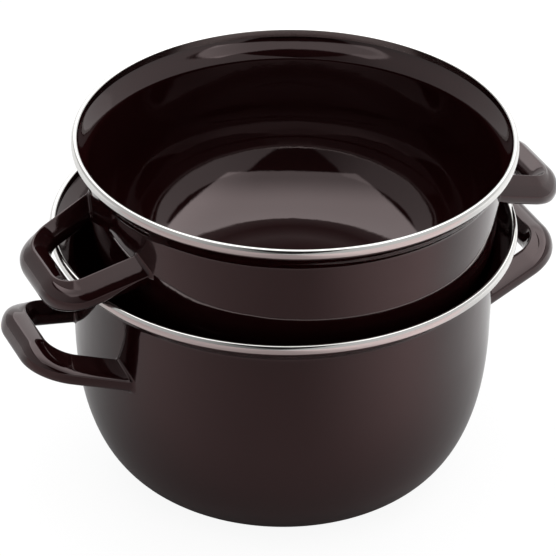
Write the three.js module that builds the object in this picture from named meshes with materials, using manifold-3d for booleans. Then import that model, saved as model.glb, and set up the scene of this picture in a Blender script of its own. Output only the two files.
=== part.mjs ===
// Mussel pot: an enamelled steel pot whose deep lid, turned open side up as a bowl for
// the empty shells, hangs in the mouth of the pot by its two handles.
// Millimetres, +Z up, origin at the centre of the pot's base, handles along X.

import * as THREE from 'three';
import { mergeVertices } from 'three/addons/utils/BufferGeometryUtils.js';
import Module from 'manifold-3d';

const wasm = await Module();
wasm.setup();

// Sheet, rims and fits
const sheet = 1.2;                 // enamelled steel sheet of the pot and the lid
const rimWidth = 3.1;              // folded steel rim bands, across
const rimDepth = 4.6;              // and from their round top down
const fitGap = 0.3;                // gap between pieces that touch
const flareHeight = 11;            // height of the flared collar under each rim
const lipHeight = 5.5;             // upright edge above the collar, up to the rim's top
const radialSteps = 60;            // facets round the axis

// Pot. Its rim sets the width of its wall and of the lid that hangs in its mouth.
const rimRadius = 123.3;           // outside of the pot's rim band
const potCollar = 12.9;            // how far the collar and rim stand out from the wall
const potTaper = 0.4;              // how far the wall narrows down to the bottom curve
const pot = {
  rimRadius,
  wallRadius: rimRadius - potCollar,
  bendRadius: rimRadius - potCollar - potTaper,
  bendHeight: 84,                  // where the bottom curve starts, above the base
  baseRadius: 70,                  // flat part of the base
  height: 143.3,                   // base to the top of the rim
  roundness: 2.34,                 // exponent of the bottom curve, 2 is an ellipse
};

// Lid, measured in the same way with its floor down
const lidInset = 7.5;              // outside of the lid's rim band inside that of the pot
const lidCollar = 9.3;
const lidTaper = 1.6;
const lidHeight = 98.5;
const lidWallDepth = 44.5;         // from the rim's top down to the bottom curve
const lid = {
  rimRadius: rimRadius - lidInset,
  wallRadius: rimRadius - lidInset - lidCollar,
  bendRadius: rimRadius - lidInset - lidCollar - lidTaper,
  bendHeight: lidHeight - lidWallDepth,
  baseRadius: 54,
  height: lidHeight,
  roundness: 2.1,
};
const lidShiftX = 3.3;             // the lid hangs a little off the pot's axis
const lidShiftY = -5.9;

// Handles, one pressing for all four
const handleReach = 35.5;          // wall to the middle of the grip
const footSpread = 33.8;           // middle of each foot from the handle's centre line
const legLean = 11;                // degrees that each leg leans inwards
const cornerRadius = 18;           // bend between leg and grip, on the middle line
const handleWidth = 16.5;          // section across the loop
const handleHeight = 15;           // section up and down
const handleSheet = 1.6;
const handleSlit = 4;              // open seam along the underside
const ridgeInset = 6.2;            // top ridge from the inner side
const bevelDrop = 4.5;             // inner bevel, down from the ridge
const undersideRadius = 4.5;
const legWidthShare = 0.86;        // legs against the grip in width
const legHeightShare = 0.9;        // and in height
const footFlare = 0.22;            // growth of the section where it meets the wall
const footFlareReach = 9;          // length of that flare along the leg
const potHandleTilt = 16;          // degrees, rising outwards
const potHandleHeight = 94.7;      // middle of the feet above the pot's base
const lidHandleTilt = -21;         // falling outwards
const lidHandleDrop = 39.5;        // middle of the feet below the top of the lid's rim
const lidHandleHeight = lid.height - lidHandleDrop;

const enamel = { color: 0x2c1d1e, roughness: 0.12, metalness: 0 };
const steel = { color: 0xd5d2cd, roughness: 0.2, metalness: 1 };

const radians = THREE.MathUtils.degToRad;

// Keeps positions only, merges shared corners, drops the slivers at the axis and points
// the faces outwards.
function closedGeometry(source) {
  const geometry = source.clone();
  geometry.deleteAttribute('normal');
  geometry.deleteAttribute('uv');
  const merged = mergeVertices(geometry, 1e-4);
  const position = merged.getAttribute('position');
  const index = [];
  for (let i = 0; i < merged.index.count; i += 3) {
    const corners = [0, 1, 2].map((k) => merged.index.getX(i + k));
    if (new Set(corners).size === 3) index.push(...corners);
  }
  const [a, b, c] = [new THREE.Vector3(), new THREE.Vector3(), new THREE.Vector3()];
  let volume = 0;
  for (let i = 0; i < index.length; i += 3) {
    a.fromBufferAttribute(position, index[i]);
    b.fromBufferAttribute(position, index[i + 1]);
    c.fromBufferAttribute(position, index[i + 2]);
    volume += a.dot(b.cross(c));
  }
  if (volume < 0) index.reverse();
  merged.setIndex(index);
  return merged;
}

function toSolid(geometry) {
  return new wasm.Manifold(new wasm.Mesh({
    numProp: 3,
    vertProperties: Float32Array.from(geometry.getAttribute('position').array),
    triVerts: Uint32Array.from(geometry.index.array),
  }));
}

function fromSolid(solid) {
  const result = solid.getMesh();
  const geometry = new THREE.BufferGeometry();
  geometry.setAttribute('position', new THREE.BufferAttribute(result.vertProperties, 3));
  geometry.setIndex(new THREE.BufferAttribute(result.triVerts, 1));
  return geometry;
}

// Turns a profile of radius and height about the Z axis.
function revolve(profile) {
  const lathe = new THREE.LatheGeometry(profile, radialSteps);
  lathe.rotateX(Math.PI / 2);
  return closedGeometry(lathe);
}

// Moves an open outline sideways by a distance, to the left of its direction.
function offsetOutline(points, distance) {
  return points.map((point, i) => {
    const before = points[Math.max(i - 1, 0)];
    const after = points[Math.min(i + 1, points.length - 1)];
    const arriving = point.clone().sub(i > 0 ? before : point);
    const leaving = after.clone().sub(i < points.length - 1 ? point : after);
    if (arriving.lengthSq() === 0) arriving.copy(leaving);
    if (leaving.lengthSq() === 0) leaving.copy(arriving);
    arriving.normalize();
    leaving.normalize();
    const left = new THREE.Vector2(-arriving.y - leaving.y, arriving.x + leaving.x).normalize();
    const stretch = left.dot(new THREE.Vector2(-leaving.y, leaving.x));
    return point.clone().addScaledVector(left, distance / stretch);
  });
}

const bandRadius = rimWidth / 2;
const lipRadius = (vessel) => vessel.rimRadius - bandRadius + sheet / 2;
const bandCentreHeight = (vessel) => vessel.height - bandRadius;

// Outside of a vessel from the middle of its base up to the edge inside the rim band.
function outsideProfile(vessel) {
  const bottomSteps = 6;
  const flareSteps = 4;
  const points = [new THREE.Vector2(0, 0)];
  for (let i = 0; i <= bottomSteps; i += 1) {
    const angle = (i / bottomSteps) * Math.PI / 2;
    const across = Math.sin(angle) ** (2 / vessel.roundness);
    const down = Math.cos(angle) ** (2 / vessel.roundness);
    points.push(new THREE.Vector2(
      vessel.baseRadius + (vessel.bendRadius - vessel.baseRadius) * across,
      vessel.bendHeight * (1 - down),
    ));
  }
  const flareTop = vessel.height - lipHeight;
  for (let i = 0; i <= flareSteps; i += 1) {
    const share = i / flareSteps;
    points.push(new THREE.Vector2(
      THREE.MathUtils.lerp(vessel.wallRadius, lipRadius(vessel), THREE.MathUtils.smoothstep(share, 0, 1)),
      flareTop - flareHeight * (1 - share),
    ));
  }
  points.push(new THREE.Vector2(lipRadius(vessel), bandCentreHeight(vessel) - fitGap));
  return points;
}

function shellGeometry(vessel) {
  const outside = outsideProfile(vessel);
  const inside = offsetOutline(outside, sheet);
  inside[0].x = 0;
  inside.at(-1).y = outside.at(-1).y;
  return revolve([...outside, ...inside.reverse()]);
}

// Folded band: an upright strip with a round top and a slot from below that takes the
// vessel's edge.
function rimGeometry(vessel) {
  const arcSteps = 6;
  const slot = sheet / 2 + fitGap;
  const foot = vessel.height - rimDepth;
  const centre = new THREE.Vector2(vessel.rimRadius - bandRadius, bandCentreHeight(vessel));
  const points = [new THREE.Vector2(vessel.rimRadius, foot)];
  for (let i = 0; i <= arcSteps; i += 1) {
    const angle = (i / arcSteps) * Math.PI;
    points.push(new THREE.Vector2(Math.cos(angle), Math.sin(angle)).multiplyScalar(bandRadius).add(centre));
  }
  points.push(new THREE.Vector2(centre.x - bandRadius, foot));
  points.push(new THREE.Vector2(centre.x - slot, foot));
  points.push(new THREE.Vector2(centre.x - slot, centre.y));
  points.push(new THREE.Vector2(centre.x + slot, centre.y));
  points.push(new THREE.Vector2(centre.x + slot, foot));
  points.push(points[0].clone());
  return revolve(points);
}

// Outline of the handle's section, x away from the loop's inside, y up, from one edge of
// the seam on the underside round to the other.
function sectionOutline() {
  const curveSteps = 3;
  const half = handleWidth / 2;
  const top = handleHeight / 2;
  const ridge = ridgeInset - half;
  const shape = new THREE.Path();
  shape.moveTo(handleSlit / 2, -top);
  shape.lineTo(half - undersideRadius, -top);
  shape.quadraticCurveTo(half, -top, half, undersideRadius - top);
  shape.quadraticCurveTo(half, top - bevelDrop / 3, ridge, top);
  shape.lineTo(-half, top - bevelDrop);
  shape.lineTo(-half, undersideRadius - top);
  shape.quadraticCurveTo(-half, -top, undersideRadius - half, -top);
  shape.lineTo(-handleSlit / 2, -top);
  return shape.getPoints(curveSteps);
}

// Middle line of the loop in the handle's plane, from foot to foot. Each station has its
// distance u from the wall's outermost point, v along the wall, heading and section size.
function loopStations(wallRadius) {
  const lean = radians(legLean);
  const cornerSteps = 4;
  const centreU = handleReach - cornerRadius;
  const cornerStartU = centreU + cornerRadius * Math.sin(lean);
  const centreV = footSpread - cornerStartU * Math.tan(lean) - cornerRadius * Math.cos(lean);
  const footU = Math.sqrt(wallRadius ** 2 - footSpread ** 2) - wallRadius;
  const legStart = footU - handleWidth / 2;
  const half = [];
  for (const share of [0, 1 / 3, 2 / 3, 1]) {
    const u = footU + footFlareReach * share;
    half.push({ u, v: footSpread - u * Math.tan(lean), heading: -lean, flare: (1 - share) ** 2 });
  }
  half.unshift({
    u: legStart, v: footSpread - legStart * Math.tan(lean), heading: -lean, flare: 1,
  });
  for (let i = 0; i <= cornerSteps; i += 1) {
    const heading = -lean - (i / cornerSteps) * (Math.PI / 2 - lean);
    half.push({
      u: centreU - cornerRadius * Math.sin(heading),
      v: centreV + cornerRadius * Math.cos(heading),
      heading,
      flare: 0,
      turn: i / cornerSteps,
    });
  }
  const mirrored = half.map((station) => ({
    ...station, v: -station.v, heading: -Math.PI - station.heading,
  }));
  return [...half, ...mirrored.reverse()];
}

// Point of a handle on the +X side of a vessel, from a station and a section point.
function handlePoint(station, point, wallRadius, height, tilt) {
  const turn = station.turn ?? 0;
  const growth = footFlare * station.flare;
  const across = point.x * (THREE.MathUtils.lerp(legWidthShare, 1, turn) + growth);
  const up = point.y * (THREE.MathUtils.lerp(legHeightShare, 1, turn) + growth);
  const u = station.u - Math.sin(station.heading) * across;
  const v = station.v + Math.cos(station.heading) * across;
  return new THREE.Vector3(
    wallRadius + u * Math.cos(tilt) - up * Math.sin(tilt),
    v,
    height + u * Math.sin(tilt) + up * Math.cos(tilt),
  );
}

// Closed body through a row of equal rings, with its two ends capped.
function loft(rings, capOutline) {
  const size = rings[0].length;
  const index = [];
  for (let r = 0; r < rings.length - 1; r += 1) {
    for (let i = 0; i < size; i += 1) {
      const next = (i + 1) % size;
      const [a, b] = [r * size + i, r * size + next];
      index.push(a, b, a + size, b, b + size, a + size);
    }
  }
  const last = (rings.length - 1) * size;
  for (const [a, b, c] of THREE.ShapeUtils.triangulateShape(capOutline, [])) {
    index.push(a, c, b);
    index.push(last + a, last + b, last + c);
  }
  const geometry = new THREE.BufferGeometry().setFromPoints(rings.flat());
  geometry.setIndex(index);
  return closedGeometry(geometry);
}

// Rolled sheet handle for the +X side of a vessel, cut to the vessel's wall.
function handleGeometry(vessel, height, tiltDegrees) {
  const outline = sectionOutline();
  const section = [...outline, ...offsetOutline(outline, handleSheet).reverse()];
  const tilt = radians(tiltDegrees);
  const rings = loopStations(vessel.wallRadius).map((station) => (
    section.map((point) => handlePoint(station, point, vessel.wallRadius, height, tilt))
  ));
  const profile = offsetOutline(outsideProfile(vessel), -fitGap);
  profile[0].x = 0;
  const wall = revolve([...profile, new THREE.Vector2(0, profile.at(-1).y)]);
  return fromSolid(toSolid(loft(rings, section)).subtract(toSolid(wall)));
}

// Height of the lid's floor at which its lowest handle leg lies just above the pot's rim.
function lidSeatHeight() {
  const samples = 60;
  const tilt = radians(lidHandleTilt);
  const lean = radians(legLean);
  const clear = bandRadius + fitGap;
  let seat = -Infinity;
  for (let i = 0; i <= samples; i += 1) {
    const u = (i / samples) * handleReach;
    for (const side of [1, -1]) {
      for (const across of [-0.5, -0.25, 0, 0.25, 0.5]) {
        const station = { u, v: side * (footSpread - u * Math.tan(lean)), heading: 0, flare: 0 };
        const under = new THREE.Vector2(across * handleWidth, -handleHeight / 2);
        const place = handlePoint(station, under, lid.wallRadius, lidHandleHeight, tilt);
        for (const end of [1, -1]) {
          const fromAxis = Math.hypot(end * place.x + lidShiftX, place.y + lidShiftY);
          const fromBand = fromAxis - (pot.rimRadius - bandRadius);
          if (Math.abs(fromBand) > clear) continue;
          const rise = Math.sqrt(clear ** 2 - fromBand ** 2);
          seat = Math.max(seat, bandCentreHeight(pot) + rise - place.z);
        }
      }
    }
  }
  return seat;
}

function piece(name, geometry, look) {
  const mesh = new THREE.Mesh(geometry, new THREE.MeshStandardMaterial(look));
  mesh.name = name;
  return mesh;
}

// One vessel with its shell, rim band and pair of handles.
function vesselGroup(vessel, shellName, prefix, handleHeightAbove, tiltDegrees) {
  const group = new THREE.Group();
  const handle = handleGeometry(vessel, handleHeightAbove, tiltDegrees);
  const left = piece(`${prefix}_handle_left`, handle, enamel);
  left.rotation.z = Math.PI;
  group.add(
    piece(shellName, shellGeometry(vessel), enamel),
    piece(`${prefix}_rim`, rimGeometry(vessel), steel),
    left,
    piece(`${prefix}_handle_right`, handle, enamel),
  );
  return group;
}

const part = new THREE.Group();
const lidGroup = vesselGroup(lid, 'lid_bowl', 'lid', lidHandleHeight, lidHandleTilt);
lidGroup.position.set(lidShiftX, lidShiftY, lidSeatHeight());
part.add(vesselGroup(pot, 'pot_shell', 'pot', potHandleHeight, potHandleTilt), lidGroup);

export default part;
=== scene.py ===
import math

import bpy
import numpy as np
from mathutils import Matrix, Vector

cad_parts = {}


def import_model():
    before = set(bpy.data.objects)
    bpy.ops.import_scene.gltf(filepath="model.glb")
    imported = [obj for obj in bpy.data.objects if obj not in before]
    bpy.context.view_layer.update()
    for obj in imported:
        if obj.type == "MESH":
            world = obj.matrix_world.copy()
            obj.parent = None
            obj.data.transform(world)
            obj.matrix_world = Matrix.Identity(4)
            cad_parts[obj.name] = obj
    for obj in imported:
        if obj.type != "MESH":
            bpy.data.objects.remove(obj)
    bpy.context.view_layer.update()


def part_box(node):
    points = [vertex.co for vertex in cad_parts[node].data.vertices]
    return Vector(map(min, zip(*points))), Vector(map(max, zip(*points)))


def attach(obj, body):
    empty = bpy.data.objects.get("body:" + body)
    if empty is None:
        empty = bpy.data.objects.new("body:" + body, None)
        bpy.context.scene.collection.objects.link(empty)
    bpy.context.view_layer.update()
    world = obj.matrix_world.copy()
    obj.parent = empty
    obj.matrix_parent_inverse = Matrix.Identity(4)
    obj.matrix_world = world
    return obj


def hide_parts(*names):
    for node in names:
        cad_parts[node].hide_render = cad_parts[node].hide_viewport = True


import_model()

bl_info = {
    "name": "Mussel pot",
    "version": (1, 0, 0),
    "blender": (4, 5, 0),
    "location": "3D View > Sidebar > Mussel pot",
    "description": "Enamelled mussel pot with its lid turned up as a bowl in the mouth",
    "category": "Add Mesh",
}

MM = 0.001

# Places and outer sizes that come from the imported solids
pot_rim_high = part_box("pot_rim")[1]
lid_rim_low, lid_rim_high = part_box("lid_rim")
lid_floor_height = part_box("lid_bowl")[0].z
POT_PLACE = Vector((0.0, 0.0, 0.0))
LID_PLACE = Vector((
    (lid_rim_low.x + lid_rim_high.x) / 2,
    (lid_rim_low.y + lid_rim_high.y) / 2,
    lid_floor_height))
VESSELS = (("pot", POT_PLACE, "pot_shell"), ("lid", LID_PLACE, "lid_bowl"))


def length(name, description, default):
    """A size in metres that a user may change."""
    return bpy.props.FloatProperty(
        name=name, description=description, default=default,
        min=0.0, precision=4, unit="LENGTH", subtype="DISTANCE")


def share(name, description, default, low=0.0, high=1.0):
    """A plain factor that a user may change."""
    return bpy.props.FloatProperty(
        name=name, description=description, default=default, min=low, max=high)


def turn(name, description, degrees):
    """An angle that a user may change."""
    return bpy.props.FloatProperty(
        name=name, description=description, default=math.radians(degrees), subtype="ANGLE")


def colour(name, description, default):
    """A linear colour that a user may change."""
    return bpy.props.FloatVectorProperty(
        name=name, description=description, default=default,
        size=3, min=0.0, max=1.0, subtype="COLOR")


class PotSizes(bpy.types.PropertyGroup):
    """Sizes of the pot."""

    rim_radius: length("Rim radius", "Outside of the rim band", pot_rim_high.x)
    wall_radius: length("Wall radius", "Outside of the wall under the collar", 111.8 * MM)
    bend_radius: length("Bend radius", "Outside of the wall at the bottom curve", 111.2 * MM)
    bend_height: length("Bend height", "Start of the bottom curve above the base", 87.5 * MM)
    base_radius: length("Base radius", "Flat part of the base", 69.0 * MM)
    height: length("Height", "Base to the top of the rim", pot_rim_high.z)
    roundness: share("Roundness", "Exponent of the bottom curve, 2 is an ellipse", 2.38, 1.0, 6.0)
    handle_radius: length("Handle radius", "From the axis to where a handle starts", 110.4 * MM)
    handle_height: length("Handle height", "Middle of the feet above the base", 94.7 * MM)
    handle_tilt: turn("Handle tilt", "Rise of the handles outwards", 16.0)
    leg_shoulder_drop: length(
        "Leg shoulder drop", "Legs' outer curve: its corner, down from the ridge", 7.4 * MM)
    leg_fullness: share(
        "Leg fullness", "How far the legs' outer curve reaches from its corner", 0.35)


class LidSizes(bpy.types.PropertyGroup):
    """Sizes of the lid, measured with its floor down."""

    rim_radius: length(
        "Rim radius", "Outside of the rim band", (lid_rim_high.x - lid_rim_low.x) / 2)
    wall_radius: length("Wall radius", "Outside of the wall under the collar", 108.0 * MM)
    bend_radius: length("Bend radius", "Outside of the wall at the bottom curve", 106.6 * MM)
    bend_height: length("Bend height", "Start of the bottom curve above the floor", 56.5 * MM)
    base_radius: length("Base radius", "Flat part of the floor", 54.0 * MM)
    height: length("Height", "Floor to the top of the rim", lid_rim_high.z - lid_floor_height)
    roundness: share("Roundness", "Exponent of the bottom curve, 2 is an ellipse", 2.12, 1.0, 6.0)
    handle_radius: length("Handle radius", "From the axis to where a handle starts", 106.5 * MM)
    handle_height: length("Handle height", "Middle of the feet above the floor", 59.0 * MM)
    handle_tilt: turn("Handle tilt", "Rise of the handles outwards", -21.0)
    leg_shoulder_drop: length(
        "Leg shoulder drop", "Legs' outer curve: its corner, down from the ridge", 8.3 * MM)
    leg_fullness: share(
        "Leg fullness", "How far the legs' outer curve reaches from its corner", 0.55)


class SheetSizes(bpy.types.PropertyGroup):
    """Sheet, collars and rim bands, the same on pot and lid."""

    sheet: length("Sheet", "Thickness of the enamelled sheet", 1.2 * MM)
    flare_height: length("Collar height", "Height of the flared collar under a rim", 11.4 * MM)
    collar_entry: share(
        "Collar entry", "Slope of a collar where it enters its rim, 0 is upright", 0.76)
    lip_height: length("Lip height", "Upright edge above the collar", 5.2 * MM)
    band_width: length("Band width", "Folded steel band, across", 3.1 * MM)
    band_depth: length("Band depth", "Folded steel band, from its top down", 4.6 * MM)
    crimp: length("Crimp", "Gap between a band's lips and the wall", 0.1 * MM)
    facets: bpy.props.IntProperty(
        name="Facets", description="Steps round the axis", default=288, min=24, max=720)


class HandleSizes(bpy.types.PropertyGroup):
    """Rolled sheet handle, the same for all four but for the section of its legs."""

    reach: length("Reach", "Handle radius to the middle of the grip", 35.42 * MM)
    foot_spread: length(
        "Foot spread", "Middle of a foot from the handle's centre line", 33.8 * MM)
    leg_lean: turn("Leg lean", "Lean of each leg inwards", 11.0)
    corner_radius: length("Corner radius", "Bend between leg and grip", 18.0 * MM)
    width: length("Width", "Section across the loop", 16.5 * MM)
    height: length("Height", "Section up and down", 15.0 * MM)
    sheet: length("Sheet", "Thickness of the handle's sheet", 1.6 * MM)
    slit: length("Seam", "Open seam along the underside", 4.0 * MM)
    ridge_inset: length("Ridge inset", "Top ridge from the inner side", 5.9 * MM)
    bevel_drop: length("Bevel drop", "Inner bevel, down from the ridge", 7.2 * MM)
    underside_radius: length("Underside radius", "Rounding under the section", 4.5 * MM)
    shoulder_drop: length(
        "Shoulder drop", "Grip's outer curve: its corner, down from the ridge", 1.5 * MM)
    fullness: share("Fullness", "How far the grip's outer curve reaches from its corner", 0.96)
    leg_width_share: share("Leg width", "Legs against the grip in width", 0.86)
    leg_height_share: share("Leg height", "Legs against the grip in height", 0.95)
    foot_fillet: length("Foot fillet", "Trumpet where a foot meets the wall", 2.0 * MM)
    ridge_round: length("Ridge rounding", "Softening of the top ridge", 0.8 * MM)


class Finishes(bpy.types.PropertyGroup):
    """Colours and gloss."""

    enamel: colour("Enamel", "Body colour of the vitreous enamel", (0.009, 0.0013, 0.0016))
    enamel_thin: colour(
        "Thin enamel", "Colour where the enamel runs thin over an edge", (0.020, 0.007, 0.007))
    enamel_gloss: share("Enamel roughness", "Roughness of the fired surface", 0.045)
    steel: colour("Rim steel", "Polished stainless steel", (0.78, 0.77, 0.75))
    steel_gloss: share("Steel roughness", "Roughness of the polished bands", 0.12)


class MusselPot(bpy.types.PropertyGroup):
    """All settings of the mussel pot."""

    pot: bpy.props.PointerProperty(type=PotSizes)
    lid: bpy.props.PointerProperty(type=LidSizes)
    sheet: bpy.props.PointerProperty(type=SheetSizes)
    handle: bpy.props.PointerProperty(type=HandleSizes)
    finish: bpy.props.PointerProperty(type=Finishes)


def both_ways(operation):
    """An operator of Wire that adds one Math node, and its reflected form."""
    return (
        lambda self, other: self.sum(operation, self, other),
        lambda self, other: self.sum(operation, other, self))


class Wire:
    """A socket in a node tree. Sums on wires add Math nodes."""

    def __init__(self, tree, socket=None):
        self.tree = tree
        self.socket = socket

    def node(self, kind, settings, sockets, out=0):
        """Adds a node of that type with its settings, then the values or links of its sockets."""
        made = self.tree.nodes.new(kind)
        for key, value in settings.items():
            setattr(made, key, value)
        for key, value in sockets.items():
            if isinstance(value, Wire):
                self.tree.links.new(value.socket, made.inputs[key])
            else:
                made.inputs[key].default_value = value
        return Wire(self.tree, made.outputs[out] if made.outputs else None)

    def outputs(self):
        """All outputs of the same node by their names."""
        return {socket.name: Wire(self.tree, socket) for socket in self.socket.node.outputs}

    def sum(self, operation, *values):
        """Adds one Math node."""
        return self.node("ShaderNodeMath", {"operation": operation}, dict(enumerate(values)))

    __add__, __radd__ = both_ways("ADD")
    __sub__, __rsub__ = both_ways("SUBTRACT")
    __mul__, __rmul__ = both_ways("MULTIPLY")
    __truediv__, __rtruediv__ = both_ways("DIVIDE")
    __pow__, __rpow__ = both_ways("POWER")


def fade(wire, value, start, end, low=0.0, high=1.0, kind="SMOOTHSTEP"):
    """Goes from low to high while the value goes from start to end."""
    return wire.node("ShaderNodeMapRange", {"interpolation_type": kind}, {
        "Value": value, "From Min": start, "From Max": end, "To Min": low, "To Max": high})


def along(wire, vector, axis):
    """Length of a vector along an axis."""
    return wire.node(
        "ShaderNodeVectorMath", {"operation": "DOT_PRODUCT"}, {0: vector, 1: axis}, out="Value")


def noise(wire, place, scale, detail, roughness=0.5):
    """Fractal noise between 0 and 1 at a place."""
    return wire.node("ShaderNodeTexNoise", {}, {
        "Vector": place, "Scale": scale, "Detail": detail, "Roughness": roughness})


def blend(first, second, first_share):
    """Two values in one, the first with its share and the second with the rest."""
    return first * first_share + second * (1.0 - first_share)


def rgba(tint):
    """An opaque colour for a socket."""
    return (*tint, 1.0)


WHITE = rgba((1.0, 1.0, 1.0))


def mix_colour(wire, factor, first, second):
    """Colour between two others."""
    return wire.node("ShaderNodeMix", {"data_type": "RGBA"}, {
        "Factor": factor, 6: rgba(first), 7: rgba(second)}, out=2)


def new_material(name):
    """A new node material and a wire to build with."""
    material = bpy.data.materials.new(name)
    material.use_nodes = True
    return material, Wire(material.node_tree)


def principled(wire, inputs):
    """Sets or links inputs of the Principled shader that a new material comes with."""
    surface = wire.tree.nodes["Principled BSDF"]
    for key, value in inputs.items():
        if isinstance(value, Wire):
            wire.tree.links.new(value.socket, surface.inputs[key])
        else:
            surface.inputs[key].default_value = value


# Enamel: scales of its noises in cycles per metre, shares of the coarser noise of two, and how far
# they thin the enamel, spread its roughness and raise its surface
CLOUD_SCALE, SPECKLE_SCALE, SMEAR_SCALE = 26.0, 900.0, 60.0
RIPPLE_SCALE, PEEL_SCALE = 75.0, 420.0
CLOUD_SHARE, RIPPLE_SHARE = 0.8, 0.9
NOISE_RANGE, SMEAR_RANGE = (0.3, 0.7), (0.35, 0.75)
CLOUD_THINNING, EDGE_THINNING = 0.22, 0.55
ENAMEL_GLOSS_SPREAD = (0.8, 1.9)
RIPPLE_STRENGTH, RIPPLE_HEIGHT = 0.12, 0.6 * MM
ENAMEL_IOR = 1.68
ENAMEL_MIRROR_TINT = (1.0, 0.82, 0.82)


def enamel_material(finish):
    """Vitreous enamel: near black, wet gloss, rippled by firing, thinner and browner at edges."""
    material, wire = new_material("vitreous_enamel")
    place = wire.node("ShaderNodeTexCoord", {}, {}, out="Object")
    cloud = noise(wire, place, CLOUD_SCALE, detail=3.0)
    speckle = noise(wire, place, SPECKLE_SCALE, detail=2.0)
    smear = noise(wire, place, SMEAR_SCALE, detail=4.0, roughness=0.6)
    ripple = noise(wire, place, RIPPLE_SCALE, detail=1.5, roughness=0.4)
    peel = noise(wire, place, PEEL_SCALE, detail=1.0)
    edge = wire.node("ShaderNodeAttribute", {"attribute_name": "edge"}, {}, out="Fac")
    clouded = fade(
        wire, blend(cloud, speckle, CLOUD_SHARE), *NOISE_RANGE, 0.0, CLOUD_THINNING, "LINEAR")
    thin = wire.node("ShaderNodeClamp", {}, {"Value": clouded + edge * EDGE_THINNING})
    low, high = (finish.enamel_gloss * spread for spread in ENAMEL_GLOSS_SPREAD)
    principled(wire, {
        "Base Color": mix_colour(wire, thin, finish.enamel, finish.enamel_thin),
        "Roughness": fade(wire, smear, *SMEAR_RANGE, low, high, "LINEAR"),
        "Normal": wire.node("ShaderNodeBump", {}, {
            "Strength": RIPPLE_STRENGTH, "Distance": RIPPLE_HEIGHT,
            "Height": blend(ripple, peel, RIPPLE_SHARE)}),
        "IOR": ENAMEL_IOR,
        "Specular Tint": rgba(ENAMEL_MIRROR_TINT),
    })
    return material


# Rim steel: cycles of its drawing lines round the band and per metre across it, of its rub marks
# per metre, and what they do to colour, roughness and surface
LINES_ROUND, LINES_ACROSS, RUB_SCALE = 1.5, 2600.0, 90.0
LINES_SHARE = 0.6
STEEL_DIMMING = 0.9
STEEL_GLOSS_SPREAD = (0.7, 1.5)
LINES_STRENGTH, LINES_HEIGHT = 0.04, 0.2 * MM


def steel_material(finish, body, centre):
    """Polished stainless band with faint drawing lines that run round the rim."""
    material, wire = new_material("rim_steel_" + body)
    place = wire.node("ShaderNodeTexCoord", {}, {}, out="Object")
    local = wire.node("ShaderNodeVectorMath", {"operation": "SUBTRACT"}, {0: place, 1: centre})
    split = wire.node("ShaderNodeSeparateXYZ", {}, {0: local}).outputs()
    x, y, z = (split[axis] for axis in "XYZ")
    radius = (x * x + y * y) ** 0.5
    across = wire.node("ShaderNodeCombineXYZ", {}, {
        "X": x / radius * LINES_ROUND, "Y": y / radius * LINES_ROUND,
        "Z": (z + radius) * LINES_ACROSS})
    lines = noise(wire, across, 1.0, detail=3.0, roughness=0.6)
    rub = noise(wire, place, RUB_SCALE, detail=3.0)
    low, high = (finish.steel_gloss * spread for spread in STEEL_GLOSS_SPREAD)
    principled(wire, {
        "Base Color": mix_colour(
            wire, lines, Vector(finish.steel) * STEEL_DIMMING, finish.steel),
        "Roughness": fade(wire, blend(lines, rub, LINES_SHARE), *NOISE_RANGE, low, high, "LINEAR"),
        "Normal": wire.node("ShaderNodeBump", {}, {
            "Strength": LINES_STRENGTH, "Distance": LINES_HEIGHT, "Height": lines}),
        "Metallic": 1.0,
    })
    return material


TURNED = "Turned piece"
TURNED_SOCKETS = (
    ("Profile", "INPUT", "NodeSocketGeometry"), ("Facets", "INPUT", "NodeSocketInt"),
    ("Centre", "INPUT", "NodeSocketVector"), ("Material", "INPUT", "NodeSocketMaterial"),
    ("Piece", "OUTPUT", "NodeSocketGeometry"))
SEAM_DISTANCE = 1e-6


def turned_tree():
    """Node tree that turns a row of profile points about an upright axis.

    The points have their radius along X and their height along Z.
    """
    tree = bpy.data.node_groups.new(TURNED, "GeometryNodeTree")
    for name, way, kind in TURNED_SOCKETS:
        tree.interface.new_socket(name, in_out=way, socket_type=kind)
    wire = Wire(tree)

    def whole(operation, first, second):
        return wire.node(
            "FunctionNodeIntegerMath", {"operation": operation}, {0: first, 1: second})

    given = wire.node("NodeGroupInput", {}, {}).outputs()
    count = wire.node("GeometryNodeAttributeDomainSize", {"component": "MESH"}, {
        0: given["Profile"]}, out="Point Count")
    grid = wire.node("GeometryNodeMeshGrid", {}, {
        "Vertices X": whole("ADD", given["Facets"], 1), "Vertices Y": count})
    index = wire.node("GeometryNodeInputIndex", {}, {})
    point = wire.node("GeometryNodeSampleIndex", {"data_type": "FLOAT_VECTOR"}, {
        "Geometry": given["Profile"],
        "Value": wire.node("GeometryNodeInputPosition", {}, {}),
        "Index": whole("MODULO", index, count)})
    angle = whole("DIVIDE_FLOOR", index, count) / given["Facets"] * math.tau
    turned = wire.node("ShaderNodeVectorRotate", {"rotation_type": "Z_AXIS"}, {
        "Vector": point, "Angle": angle})
    placed = wire.node(
        "ShaderNodeVectorMath", {"operation": "ADD"}, {0: turned, 1: given["Centre"]})
    piece = wire.node("GeometryNodeSetPosition", {}, {"Geometry": grid, "Position": placed})
    piece = wire.node(
        "GeometryNodeMergeByDistance", {}, {"Geometry": piece, "Distance": SEAM_DISTANCE})
    piece = wire.node("GeometryNodeSetShadeSmooth", {}, {"Geometry": piece, "Shade Smooth": True})
    piece = wire.node("GeometryNodeRealizeInstances", {}, {"Geometry": piece})
    piece = wire.node(
        "GeometryNodeSetMaterial", {}, {"Geometry": piece, "Material": given["Material"]})
    wire.node("NodeGroupOutput", {}, {"Piece": piece})
    return tree


def link(name, data):
    """A new object at the origin with that mesh or camera."""
    thing = bpy.data.objects.new(name, data)
    bpy.context.scene.collection.objects.link(thing)
    return thing


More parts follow.
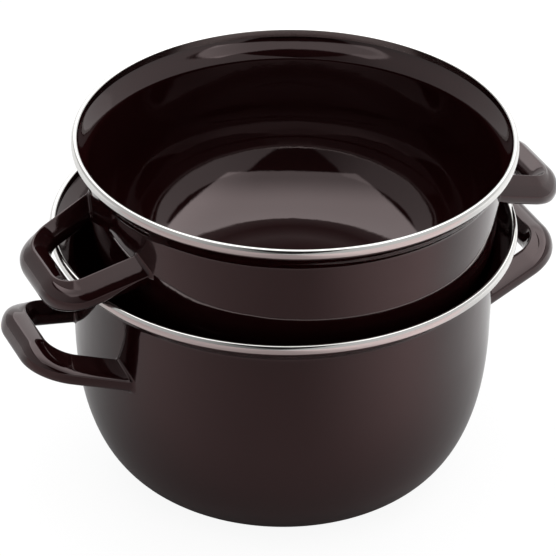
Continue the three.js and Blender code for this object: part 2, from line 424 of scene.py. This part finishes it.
def turned_piece(name, profile, centre, material, facets):
    """A plain mesh object turned from a profile of (radius, height) points."""
    tree = bpy.data.node_groups.get(TURNED) or turned_tree()
    row = bpy.data.meshes.new(name + "_profile")
    row.from_pydata([(r, 0.0, z) for r, z in profile], [], [])
    thing = link(name, row)
    nodes = thing.modifiers.new(TURNED, "NODES")
    nodes.node_group = tree
    sockets = {s.name: s.identifier for s in tree.interface.items_tree if s.in_out == "INPUT"}
    nodes[sockets["Facets"]] = facets
    nodes[sockets["Centre"]] = centre
    nodes[sockets["Material"]] = material
    graph = bpy.context.evaluated_depsgraph_get()
    mesh = bpy.data.meshes.new_from_object(thing.evaluated_get(graph), depsgraph=graph)
    thing.modifiers.remove(nodes)
    thing.data = mesh
    mesh.name = name
    # Set Material leaves an empty slot in front of its own
    if mesh.materials[0] is None:
        mesh.materials.pop(index=0)
    bpy.data.meshes.remove(row)
    return thing


def smoothstep(t):
    """Eases from 0 to 1."""
    return t * t * (3.0 - 2.0 * t)


# Points along the parts of a vessel's outside
BOTTOM_STEPS, WALL_STEPS, FLARE_STEPS = 60, 8, 24
FLAT_POINTS = 2


def outside_profile(vessel, sheet):
    """Outside of a vessel from the middle of its base up to the edge inside the rim band."""
    points = [(0.0, 0.0), (vessel.base_radius / 2, 0.0)]
    for i in range(BOTTOM_STEPS + 1):
        a = i / BOTTOM_STEPS * math.pi / 2
        across = math.sin(a) ** (2 / vessel.roundness)
        down = max(math.cos(a), 0.0) ** (2 / vessel.roundness)
        points.append((
            vessel.base_radius + (vessel.bend_radius - vessel.base_radius) * across,
            vessel.bend_height * (1 - down)))
    lip = vessel.rim_radius - sheet.band_width / 2 + sheet.sheet / 2
    flare_foot = vessel.height - sheet.lip_height - sheet.flare_height
    for i in range(1, WALL_STEPS):
        s = i / WALL_STEPS
        points.append((
            vessel.bend_radius + (vessel.wall_radius - vessel.bend_radius) * s,
            vessel.bend_height + (flare_foot - vessel.bend_height) * s))
    for i in range(FLARE_STEPS + 1):
        s = i / FLARE_STEPS
        spread = smoothstep(s) + sheet.collar_entry * (s ** 3 - s ** 2)
        points.append((
            vessel.wall_radius + (lip - vessel.wall_radius) * spread,
            flare_foot + sheet.flare_height * s))
    points.append((lip, vessel.height - sheet.band_width / 2))
    return np.array(points)


def unit(vectors):
    """Each vector at length 1."""
    return vectors / np.linalg.norm(vectors, axis=-1, keepdims=True)


def offset_line(points, distance):
    """The open line moved to the left of its direction."""
    step = unit(np.diff(points, axis=0))
    arriving = np.vstack([step[:1], step])
    leaving = np.vstack([step, step[-1:]])
    left = unit(np.stack(
        [-arriving[:, 1] - leaving[:, 1], arriving[:, 0] + leaving[:, 0]], 1))
    stretch = (left * np.stack([-leaving[:, 1], leaving[:, 0]], 1)).sum(1)
    return points + left * (distance / stretch)[:, None]


def sheet_section(outer, thickness):
    """Closed section of a sheet from its outer line."""
    return np.vstack([outer, offset_line(outer, thickness)[::-1]])


def shell_profile(vessel, sheet):
    """Closed section of a vessel's sheet, its ends on the axis and level with the edge."""
    outside = outside_profile(vessel, sheet)
    section = sheet_section(outside, sheet.sheet)
    section[-1, 0] = 0.0
    section[len(outside), 1] = outside[-1, 1]
    return section


# Section of a folded band from its crest down each side: each arc's radius in millimetres and the
# slant of the surface, in degrees from level to upright and past it, at which the arc ends
OUTER_ARCS = ((0.85, 52), (4.2, 80), (6.0, 100), (0.4, 175))
INNER_ARCS = ((2.0, 42), (0.5, 90))
ARC_STEPS = 8
BAND_CREASE = math.radians(60.0)


def arc_side(arcs):
    """Points of one side of a band, from its crest at the origin outwards and down."""
    points, slant = [(0.0, 0.0)], 0.0
    for radius, end in arcs:
        x, z = points[-1]
        start = math.radians(slant)
        for i in range(1, ARC_STEPS + 1):
            a = math.radians(slant + (end - slant) * i / ARC_STEPS)
            points.append((
                x + radius * MM * (math.sin(a) - math.sin(start)),
                z + radius * MM * (math.cos(a) - math.cos(start))))
        slant = end
    return points


def band_profile(vessel, sheet):
    """Closed section of a folded band: round crest, bowed outer face, lips crimped to the wall."""
    half = sheet.band_width / 2
    lip = sheet.sheet / 2 + sheet.crimp
    slot_top, foot = -half, -sheet.band_depth
    outer = arc_side(OUTER_ARCS)
    inner = [(-x, z) for x, z in arc_side(INNER_ARCS)]
    shift = half - max(x for x, _ in outer)
    outer = [(x + shift, max(z, foot)) for x, z in outer]
    inner = [(max(x + shift, -half), z) for x, z in inner[1:]]
    inside = [
        (inner[-1][0], foot), (-lip, foot), (-lip, slot_top), (lip, slot_top), (lip, outer[-1][1])]
    closed = outer[::-1] + inner + inside + outer[-1:]
    x0 = vessel.rim_radius - half
    return [(x0 + x, vessel.height + z) for x, z in closed]


# Handles: points along the curves of the section, rings along the loop, how the fillet's rings
# crowd towards the wall, how deep the feet stand in it, and where the enamel thins over the edges
UNDERSIDE_STEPS, SHOULDER_STEPS, EDGE_STEPS = 10, 22, 6
BEVEL_PLACES = (0.4, 0.6)
HIP_SOFTNESS = 1.6
FILLET_RINGS, LEG_RINGS, CORNER_RINGS, GRIP_RINGS = 12, 14, 22, 6
FILLET_CROWDING = 1.6
FOOT_DEPTH = 0.15 * MM
WALL_SEARCH_STEPS = 48
RIDGE_THINNING, HIP_THINNING = 1.3 * MM, 1.6 * MM
HIP_THINNING_SHARE = 0.6
TIE_BREAK = 1e-3
HANDLE_CREASE = math.radians(50.0)


def curve(start, pull, end, steps):
    """Points of a quadratic curve, without its start."""
    start, pull, end = (np.array(p, float) for p in (start, pull, end))
    s = np.linspace(0, 1, steps + 1)[1:, None]
    return (1 - s) ** 2 * start + 2 * s * (1 - s) * pull + s * s * end


def handle_outline(h, shoulder_drop, fullness):
    """Outer line of a handle's section from one edge of the seam round to the other.

    X runs away from the loop's inside.
    """
    half, top, low = h.width / 2, h.height / 2, h.underside_radius
    soft, hip_soft = h.ridge_round, h.ridge_round * HIP_SOFTNESS
    ridge = np.array((h.ridge_inset - half, top))
    hip = np.array((-half, top - h.bevel_drop))
    corner = np.array((half, top - shoulder_drop))
    lead = ridge + unit(corner - ridge) * soft
    start, end = (
        corner + (np.array(p) - corner) * fullness for p in ((half, low - top), lead))
    bevel = unit(hip - ridge)
    flat = half - low
    flat_middle = (flat + h.slit / 2) / 2
    return np.vstack([
        [(h.slit / 2, -top), (flat_middle, -top), (flat, -top)],
        curve((flat, -top), (half, -top), (half, low - top), UNDERSIDE_STEPS),
        start, curve(start, corner, end, SHOULDER_STEPS),
        lead, curve(lead, ridge, ridge + bevel * soft, EDGE_STEPS),
        [ridge + (hip - ridge) * s for s in BEVEL_PLACES],
        curve(hip - bevel * hip_soft, hip, hip - np.array((0, hip_soft)), EDGE_STEPS),
        [(-half, (low - top) / 2), (-half, low - top)],
        curve((-half, low - top), (-half, -top), (-flat, -top), UNDERSIDE_STEPS),
        [(-flat_middle, -top), (-h.slit / 2, -top)],
    ])


def handle_rings(vessel, sheet, h, grip, leg_shape):
    """Rings of points along a handle on the +X side of a vessel with its floor at zero.

    The loop is laid out in its own plane, u outwards and v sideways, which the tilt then raises.
    """
    half = len(leg_shape) // 2
    away = unit(leg_shape[:half] - leg_shape[half:][::-1])
    spread = np.vstack([away, away[::-1]])
    leg = leg_shape * (h.leg_width_share, h.leg_height_share)
    wall_radii, wall_heights = outside_profile(vessel, sheet)[FLAT_POINTS:].T
    lean, tilt = h.leg_lean, vessel.handle_tilt

    def world(u, v, up):
        x = vessel.handle_radius + u * math.cos(tilt) - up * math.sin(tilt)
        z = vessel.handle_height + u * math.sin(tilt) + up * math.cos(tilt)
        return np.stack([x, v, z], -1)

    def leg_point(u, points):
        across, up = points.T
        v = h.foot_spread - u * math.tan(lean) + math.cos(lean) * across
        return world(u + math.sin(lean) * across, v, up)

    def wall_hit(points):
        low = np.full(len(points), -h.reach)
        high = np.full(len(points), h.reach)
        for _ in range(WALL_SEARCH_STEPS):
            middle = (low + high) / 2
            x, y, z = leg_point(middle, points).T
            beyond = np.hypot(x, y) > np.interp(z, wall_heights, wall_radii)
            low = np.where(beyond, low, middle)
            high = np.where(beyond, middle, high)
        return (low + high) / 2

    rings = []
    for i in range(FILLET_RINGS + 1):
        distance = h.foot_fillet * (i / FILLET_RINGS) ** FILLET_CROWDING
        in_arc = max(h.foot_fillet ** 2 - (h.foot_fillet - distance) ** 2, 0.0)
        flared = leg + spread * (h.foot_fillet - math.sqrt(in_arc))
        rings.append(leg_point(wall_hit(flared) + distance - FOOT_DEPTH, flared))
    centre_u = h.reach - h.corner_radius
    corner_u = centre_u + h.corner_radius * math.sin(lean)
    centre_v = h.foot_spread - corner_u * math.tan(lean) - h.corner_radius * math.cos(lean)
    start_u = wall_hit(leg) + h.foot_fillet - FOOT_DEPTH
    for i in range(1, LEG_RINGS + 1):
        rings.append(leg_point(start_u + (corner_u - start_u) * (i / LEG_RINGS), leg))
    for i in range(1, CORNER_RINGS + 1):
        s = i / CORNER_RINGS
        heading = -lean - s * (math.pi / 2 - lean)
        across, up = (leg + (grip - leg) * smoothstep(s)).T
        u = centre_u - math.sin(heading) * (h.corner_radius + across)
        v = centre_v + math.cos(heading) * (h.corner_radius + across)
        rings.append(world(u, v, up))
    across, up = grip.T
    for i in range(1, GRIP_RINGS + 1):
        v = np.full(len(grip), centre_v * (1 - i / GRIP_RINGS))
        rings.append(world(h.reach + across, v, up))
    mirrored = [ring * (1, -1, 1) for ring in rings[:-1]]
    return rings + mirrored[::-1]


def thin_edges(outer):
    """How thin the enamel runs at each point of a handle's outer line, over its ridge and its hip.

    The hip is the innermost point, and the highest of those.
    """
    steps = np.linalg.norm(np.diff(outer, axis=0), axis=1)
    distance = np.concatenate([[0], np.cumsum(steps)])
    ridge = distance[np.argmax(outer[:, 1])]
    hip = distance[np.argmin(outer[:, 0] - outer[:, 1] * TIE_BREAK)]
    over_ridge = np.exp(-((distance - ridge) / RIDGE_THINNING) ** 2)
    over_hip = np.exp(-((distance - hip) / HIP_THINNING) ** 2)
    return np.maximum(over_ridge, HIP_THINNING_SHARE * over_hip)


def handle_mesh(name, vessel, sheet, h):
    """Rolled handle for the +X side of a vessel, its feet run out onto the wall."""
    outer = handle_outline(h, h.shoulder_drop, h.fullness)
    leg_outer = handle_outline(h, vessel.leg_shoulder_drop, vessel.leg_fullness)
    rings = handle_rings(
        vessel, sheet, h, sheet_section(outer, h.sheet), sheet_section(leg_outer, h.sheet))
    half, size = len(outer), len(rings[0])
    faces = []
    for r in range(len(rings) - 1):
        for i in range(size):
            a, b = r * size + i, r * size + (i + 1) % size
            faces.append((a, b, b + size, a + size))
    last = (len(rings) - 1) * size
    for i in range(half - 1):
        j = size - 1 - i
        faces.append((j, j - 1, i + 1, i))
        faces.append((last + i, last + i + 1, last + j - 1, last + j))
    mesh = bpy.data.meshes.new(name)
    mesh.from_pydata(np.vstack(rings).tolist(), [], faces)
    edge = np.tile(np.concatenate([thin_edges(outer), np.zeros(half)]), len(rings))
    values = mesh.attributes.new("edge", "FLOAT", "POINT")
    values.data.foreach_set("value", edge.astype(np.float32))
    return mesh


def placed_copy(name, mesh, turned, place):
    """An object with its own copy of a mesh, its points turned about the upright axis and moved."""
    own = mesh.copy()
    own.name = name
    own.transform(Matrix.Translation(place) @ Matrix.Rotation(turned, 4, "Z"))
    own.shade_smooth()
    own.set_sharp_from_angle(angle=HANDLE_CREASE)
    return link(name, own)


def settings(context):
    """The settings of the scene's mussel pot."""
    return context.scene.mussel_pot


def enamel(context):
    """The one enamel of all enamelled pieces."""
    return bpy.data.materials.get("vitreous_enamel") or enamel_material(settings(context).finish)


class MUSSELPOT_OT_shells(bpy.types.Operator):
    """Turn the enamelled pot and the lid's bowl"""

    bl_idname = "mussel_pot.shells"
    bl_label = "Pot and lid shells"

    def execute(self, context):
        s = settings(context)
        for body, place, node in VESSELS:
            profile = shell_profile(getattr(s, body), s.sheet)
            shell = turned_piece(node + "_enamel", profile, place, enamel(context), s.sheet.facets)
            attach(shell, body)
            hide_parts(node)
        return {"FINISHED"}


class MUSSELPOT_OT_rims(bpy.types.Operator):
    """Fold the steel bands over the edges of pot and lid"""

    bl_idname = "mussel_pot.rims"
    bl_label = "Steel rims"

    def execute(self, context):
        s = settings(context)
        for body, place, _ in VESSELS:
            steel = steel_material(s.finish, body, place)
            profile = band_profile(getattr(s, body), s.sheet)
            band = turned_piece(body + "_rim_band", profile, place, steel, s.sheet.facets)
            band.data.set_sharp_from_angle(angle=BAND_CREASE)
            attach(band, body)
            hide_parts(body + "_rim")
        return {"FINISHED"}


class MUSSELPOT_OT_handles(bpy.types.Operator):
    """Roll the four handles and set them on the walls"""

    bl_idname = "mussel_pot.handles"
    bl_label = "Handles"

    def execute(self, context):
        s = settings(context)
        for body, place, _ in VESSELS:
            pattern = handle_mesh(body + "_handle", getattr(s, body), s.sheet, s.handle)
            for side, turned in (("right", 0.0), ("left", math.pi)):
                node = f"{body}_handle_{side}"
                handle = placed_copy(node + "_rolled", pattern, turned, place)
                handle.data.materials.append(enamel(context))
                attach(handle, body)
                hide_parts(node)
            bpy.data.meshes.remove(pattern)
        return {"FINISHED"}


# Camera, as fitted to the photographed rims
CAMERA_AIM = Vector((0.0, 0.0, 0.141))
CAMERA_DISTANCE = 1.6872
CAMERA_ELEVATION = math.radians(31.635)
CAMERA_SIDE = math.radians(24.5)
CAMERA_YAW = math.radians(0.0834)
CAMERA_PITCH = math.radians(-1.0257)
CAMERA_ROLL = math.radians(-0.8038)
TO_CAMERA = (-math.sin(CAMERA_SIDE), -math.cos(CAMERA_SIDE), 0.0)
TO_RIGHT = (math.cos(CAMERA_SIDE), -math.sin(CAMERA_SIDE), 0.0)
TO_SKY = (0.0, 0.0, 1.0)
FOCAL_PIXELS = 3200.0
IMAGE_PIXELS = 556.0
SENSOR = 36.0
CLIP_END = 60.0


def add_camera():
    """Sets up the camera of the photograph."""
    flat, rise = math.cos(CAMERA_ELEVATION), math.sin(CAMERA_ELEVATION)
    back = Vector((flat * TO_CAMERA[0], flat * TO_CAMERA[1], rise))
    right = Vector(TO_RIGHT)
    up = back.cross(right)
    facing = Matrix((right, up, back)).transposed()
    for angle, axis in ((CAMERA_YAW, "Y"), (CAMERA_PITCH, "X"), (-CAMERA_ROLL, "Z")):
        facing = facing @ Matrix.Rotation(angle, 3, axis)
    data = bpy.data.cameras.new("camera")
    data.sensor_width = SENSOR
    data.sensor_fit = "HORIZONTAL"
    data.lens = FOCAL_PIXELS / IMAGE_PIXELS * SENSOR
    data.clip_end = CLIP_END
    camera = link("camera", data)
    camera.matrix_world = Matrix.Translation(CAMERA_AIM + back * CAMERA_DISTANCE) @ facing.to_4x4()
    bpy.context.scene.camera = camera


# Studio light, as read from its mirror images in the enamel. Each fade is where it starts, where
# it ends and, if not from 0 to 1, the levels there.
STUDIO_LEVEL = 0.8
ROOM_LIGHT = 0.02

# Roof: its places are in heights above the object, deep towards the camera and across to the right
LOWEST_ROOF = 0.05
ROOF_HORIZON = (0.25, 0.35)
ROOF_FRONT_EDGE, ROOF_LEFT_EDGE, ROOF_RIGHT_EDGE = (1.0, 0.93), (-0.94, -0.86), (1.03, 0.95)
ROOF_FRONT, ROOF_RIGHT, ROOF_BACK = (
    (0.0, 0.75, 2.65, 1.13), (0.3, 1.0, 0.0, 0.6), (-0.5, -1.2, 1.0, 0.6))

# Side panels: side, upper edge, far edge, and levels in front, at the side and added behind.
# Angles are in degrees, round from the camera's side and up from level.
PANELS = ((-1.0, 44.0, 148.0, 0.2, 0.52, 0.18), (1.0, 40.0, 115.0, 0.6, 0.78, 0.1))
PANEL_FAR_SOFTNESS, PANEL_TOP_SOFTNESS = 2.0, 1.0
PANEL_FRONT_SLANT = 0.94
PANEL_FRONT_EDGE = (-7.5, -4.0)
PANEL_FRONT, PANEL_SIDE, PANEL_BACK = 18.0, 50.0, 115.0

# White backdrop between the panels' far edges, and its share in what gloss and glass show
BACKDROP_RIGHT, BACKDROP_LEFT, BACKDROP_TOP = (113.0, 117.0), (-146.0, -150.0), (46.0, 40.0)
BACKDROP_SHARE = 0.4


def studio_light(wire):
    """Light from each direction, with a soft roof, side panels and backdrop, and the backdrop."""
    ray = wire.node("ShaderNodeTexCoord", {}, {}, out="Generated")
    front, right, up = (along(wire, ray, axis) for axis in (TO_CAMERA, TO_RIGHT, TO_SKY))
    azimuth = wire.sum("ARCTAN2", right, front) * math.degrees(1.0)
    elevation = wire.sum("ARCSINE", up) * math.degrees(1.0)
    above = wire.sum("MAXIMUM", up, LOWEST_ROOF)
    deep, across = front / above, right / above

    roof = fade(wire, deep, *ROOF_FRONT_EDGE) * fade(wire, up, *ROOF_HORIZON)
    roof = roof * fade(wire, across, *ROOF_LEFT_EDGE) * fade(wire, across, *ROOF_RIGHT_EDGE)
    level = fade(wire, deep, *ROOF_FRONT) + fade(wire, across, *ROOF_RIGHT)
    light = roof * fade(wire, deep, *ROOF_BACK) * level + ROOM_LIGHT
    for side, top, far, front_level, side_level, back_level in PANELS:
        turned = azimuth * side
        panel = fade(wire, turned, far + PANEL_FAR_SOFTNESS, far - PANEL_FAR_SOFTNESS)
        panel = panel * fade(wire, elevation, top + PANEL_TOP_SOFTNESS, top - PANEL_TOP_SOFTNESS)
        panel = panel * fade(wire, turned - elevation * PANEL_FRONT_SLANT, *PANEL_FRONT_EDGE)
        level = fade(wire, turned, PANEL_FRONT, PANEL_SIDE, front_level, side_level, "LINEAR")
        level = level + fade(wire, turned, PANEL_SIDE, PANEL_BACK, 0.0, back_level, "LINEAR")
        light = light + panel * level
    behind = fade(wire, azimuth, *BACKDROP_RIGHT) + fade(wire, azimuth, *BACKDROP_LEFT)
    behind = behind * fade(wire, elevation, *BACKDROP_TOP)
    return light + behind, behind


def shown_white(wire, place):
    """1 for rays that are shown the white background.

    These are the camera's, and those by gloss and glass by the background's share at their place.
    """
    path = wire.node("ShaderNodeLightPath", {}, {}).outputs()
    mirrored = path["Is Glossy Ray"] + path["Is Transmission Ray"]
    return wire.sum("MINIMUM", path["Is Camera Ray"] + mirrored * place, 1.0)


def studio_world():
    """White for the camera and behind the object, and the studio's light for everything else."""
    world = bpy.data.worlds.new("studio")
    world.use_nodes = True
    tree = world.node_tree
    wire = Wire(tree)
    light, behind = studio_light(wire)
    white = shown_white(wire, behind * BACKDROP_SHARE)
    strength = white + (1.0 - white) * light * STUDIO_LEVEL
    sky = tree.nodes["Background"]
    sky.inputs["Color"].default_value = WHITE
    tree.links.new(strength.socket, sky.inputs["Strength"])
    return world


# Table top: half its side and how far it lies under the base, in metres, its grey as the sum of
# fades towards the camera and to the right, which is painted shade and light, darker towards the
# camera and lighter behind and to the right, and what the camera is shown of it
FLOOR_HALF, FLOOR_DROP = 6.0, 0.2 * MM
TABLE_FRONT_PAINTED_SHADE = ((0.12, 0.3, 0.30, 0.22), (0.1, -0.2, 0.0, 0.3))
TABLE_RIGHT_PAINTED_LIGHT = ((0.02, 0.25, 0.0, 0.26), (-0.02, -0.25, 0.0, 0.07))
TABLE_WARMTH = (0.0, 0.15, 1.0, 1.22)
TABLE_BACKDROP = (-0.15, -0.6, 0.0, BACKDROP_SHARE)
SHADOW_GREY = (0.1, 0.1, 0.1)
SHOWN_GLOW = 0.92


def floor_material():
    """Pale table with painted shade and light, darker towards the camera and lighter behind and to
    the right, white for the camera but for the object's shadow, and clear from below.
    """
    material, wire = new_material("studio_floor")
    tree = wire.tree
    tree.nodes.remove(tree.nodes["Principled BSDF"])
    place = wire.node("ShaderNodeTexCoord", {}, {}, out="Object")
    front, right = along(wire, place, TO_CAMERA), along(wire, place, TO_RIGHT)
    # Painted shade and light on the table, seen in reflections and bounced light: darker towards
    # the camera, lighter behind and to the right, and redder towards the camera
    near, far = (fade(wire, front, *step) for step in TABLE_FRONT_PAINTED_SHADE)
    to_right, to_left = (fade(wire, right, *step) for step in TABLE_RIGHT_PAINTED_LIGHT)
    painted_table_shading = near + far + to_right + to_left
    painted_table_tone = wire.node("ShaderNodeCombineColor", {}, {
        "Red": painted_table_shading * fade(wire, front, *TABLE_WARMTH), "Green": painted_table_shading, "Blue": painted_table_shading})
    table = wire.node("ShaderNodeBsdfDiffuse", {}, {"Color": painted_table_tone})
    shade = wire.node("ShaderNodeBsdfDiffuse", {}, {"Color": rgba(SHADOW_GREY)})
    bright = wire.node("ShaderNodeEmission", {}, {"Color": WHITE, "Strength": SHOWN_GLOW})
    shown = wire.node("ShaderNodeAddShader", {}, {0: shade, 1: bright})
    white = shown_white(wire, fade(wire, front, *TABLE_BACKDROP))
    mixed = wire.node("ShaderNodeMixShader", {}, {0: white, 1: table, 2: shown})
    below = wire.node("ShaderNodeNewGeometry", {}, {}, out="Backfacing")
    clear = wire.node("ShaderNodeBsdfTransparent", {}, {})
    surface = wire.node("ShaderNodeMixShader", {}, {0: below, 1: mixed, 2: clear})
    tree.links.new(surface.socket, tree.nodes["Material Output"].inputs["Surface"])
    return material


def add_floor():
    """Lays the table top just under the base."""
    corners = ((-1, -1), (1, -1), (1, 1), (-1, 1))
    mesh = bpy.data.meshes.new("floor")
    mesh.from_pydata(
        [(x * FLOOR_HALF, y * FLOOR_HALF, -FLOOR_DROP) for x, y in corners], [], [(0, 1, 2, 3)])
    mesh.materials.append(floor_material())
    floor = link("floor", mesh)


class MUSSELPOT_OT_stage(bpy.types.Operator):
    """Set up the floor, the soft light and the camera"""

    bl_idname = "mussel_pot.stage"
    bl_label = "Stage, light and camera"

    def execute(self, context):
        context.scene.view_settings.view_transform = "Standard"
        context.scene.world = studio_world()
        add_floor()
        add_camera()
        return {"FINISHED"}


class MUSSELPOT_PT_panel(bpy.types.Panel):
    """Lists the steps and sizes of the mussel pot"""

    bl_label = "Mussel pot"
    bl_idname = "MUSSELPOT_PT_panel"
    bl_space_type = "VIEW_3D"
    bl_region_type = "UI"
    bl_category = "Mussel pot"

    def draw(self, context):
        for operator in OPERATORS:
            self.layout.operator(operator.bl_idname)
        for group in MusselPot.__annotations__:
            values = getattr(settings(context), group)
            box = self.layout.box()
            box.label(text=group.capitalize())
            for key in values.__annotations__:
                box.prop(values, key)


GROUPS = (PotSizes, LidSizes, SheetSizes, HandleSizes, Finishes, MusselPot)
OPERATORS = (MUSSELPOT_OT_shells, MUSSELPOT_OT_rims, MUSSELPOT_OT_handles, MUSSELPOT_OT_stage)
CLASSES = (*GROUPS, *OPERATORS, MUSSELPOT_PT_panel)


def register():
    """Registers the classes and gives each scene its settings."""
    for kind in CLASSES:
        bpy.utils.register_class(kind)
    bpy.types.Scene.mussel_pot = bpy.props.PointerProperty(type=MusselPot)


def unregister():
    """Takes back what register did."""
    del bpy.types.Scene.mussel_pot
    for kind in reversed(CLASSES):
        bpy.utils.unregister_class(kind)


def main():
    """Makes the pieces and the stage."""
    register()
    bpy.ops.mussel_pot.shells()
    bpy.ops.mussel_pot.rims()
    bpy.ops.mussel_pot.handles()
    bpy.ops.mussel_pot.stage()


if __name__ == "__main__":
    main()
